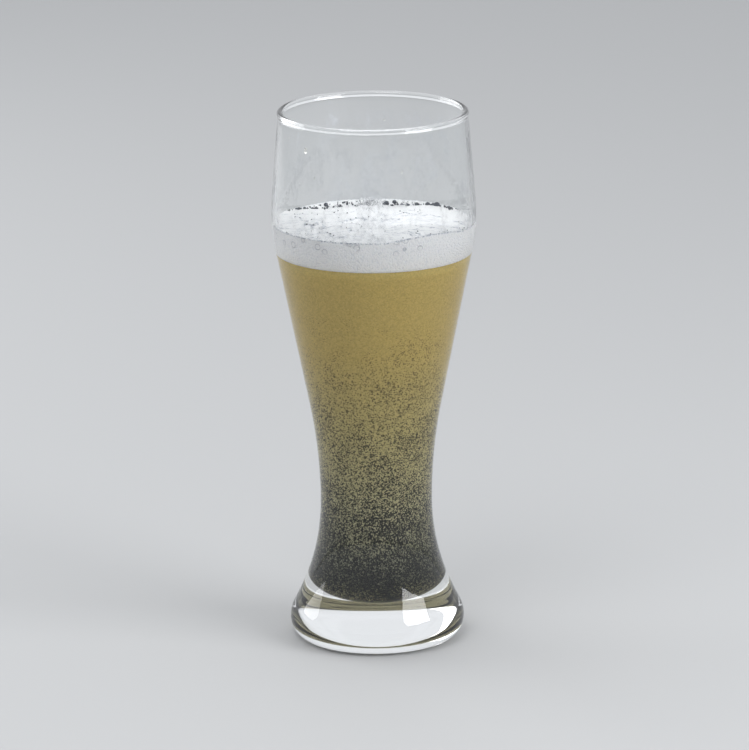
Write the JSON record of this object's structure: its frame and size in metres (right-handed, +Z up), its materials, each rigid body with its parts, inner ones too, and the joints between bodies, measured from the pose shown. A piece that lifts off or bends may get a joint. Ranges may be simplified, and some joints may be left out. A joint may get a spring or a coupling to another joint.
{
  "type": "beer glass",
  "caption": "Tall wheat-beer glass with a heavy solid foot, slim waist, long taper and slightly drawn-in mouth, filled with hazy gold beer under a white foam head.",
  "frame": {"origin": "middle of the surface that the glass stands on, on its axis, at the height of the standing ring", "axes": "+Z up along the axis of the glass, from the foot to the rim; X and Y lie in the standing surface"},
  "size_m": [0.0848, 0.0848, 0.225],
  "materials": {
    "glass": "clear, fire-polished",
    "beer": "hazy liquid full of fine bubbles",
    "foam": "fine white foam"
  },
  "bodies": {
    "root": {"glass": "glass", "beer": "beer", "foam_head": "foam"}
  },
  "joints": []
}
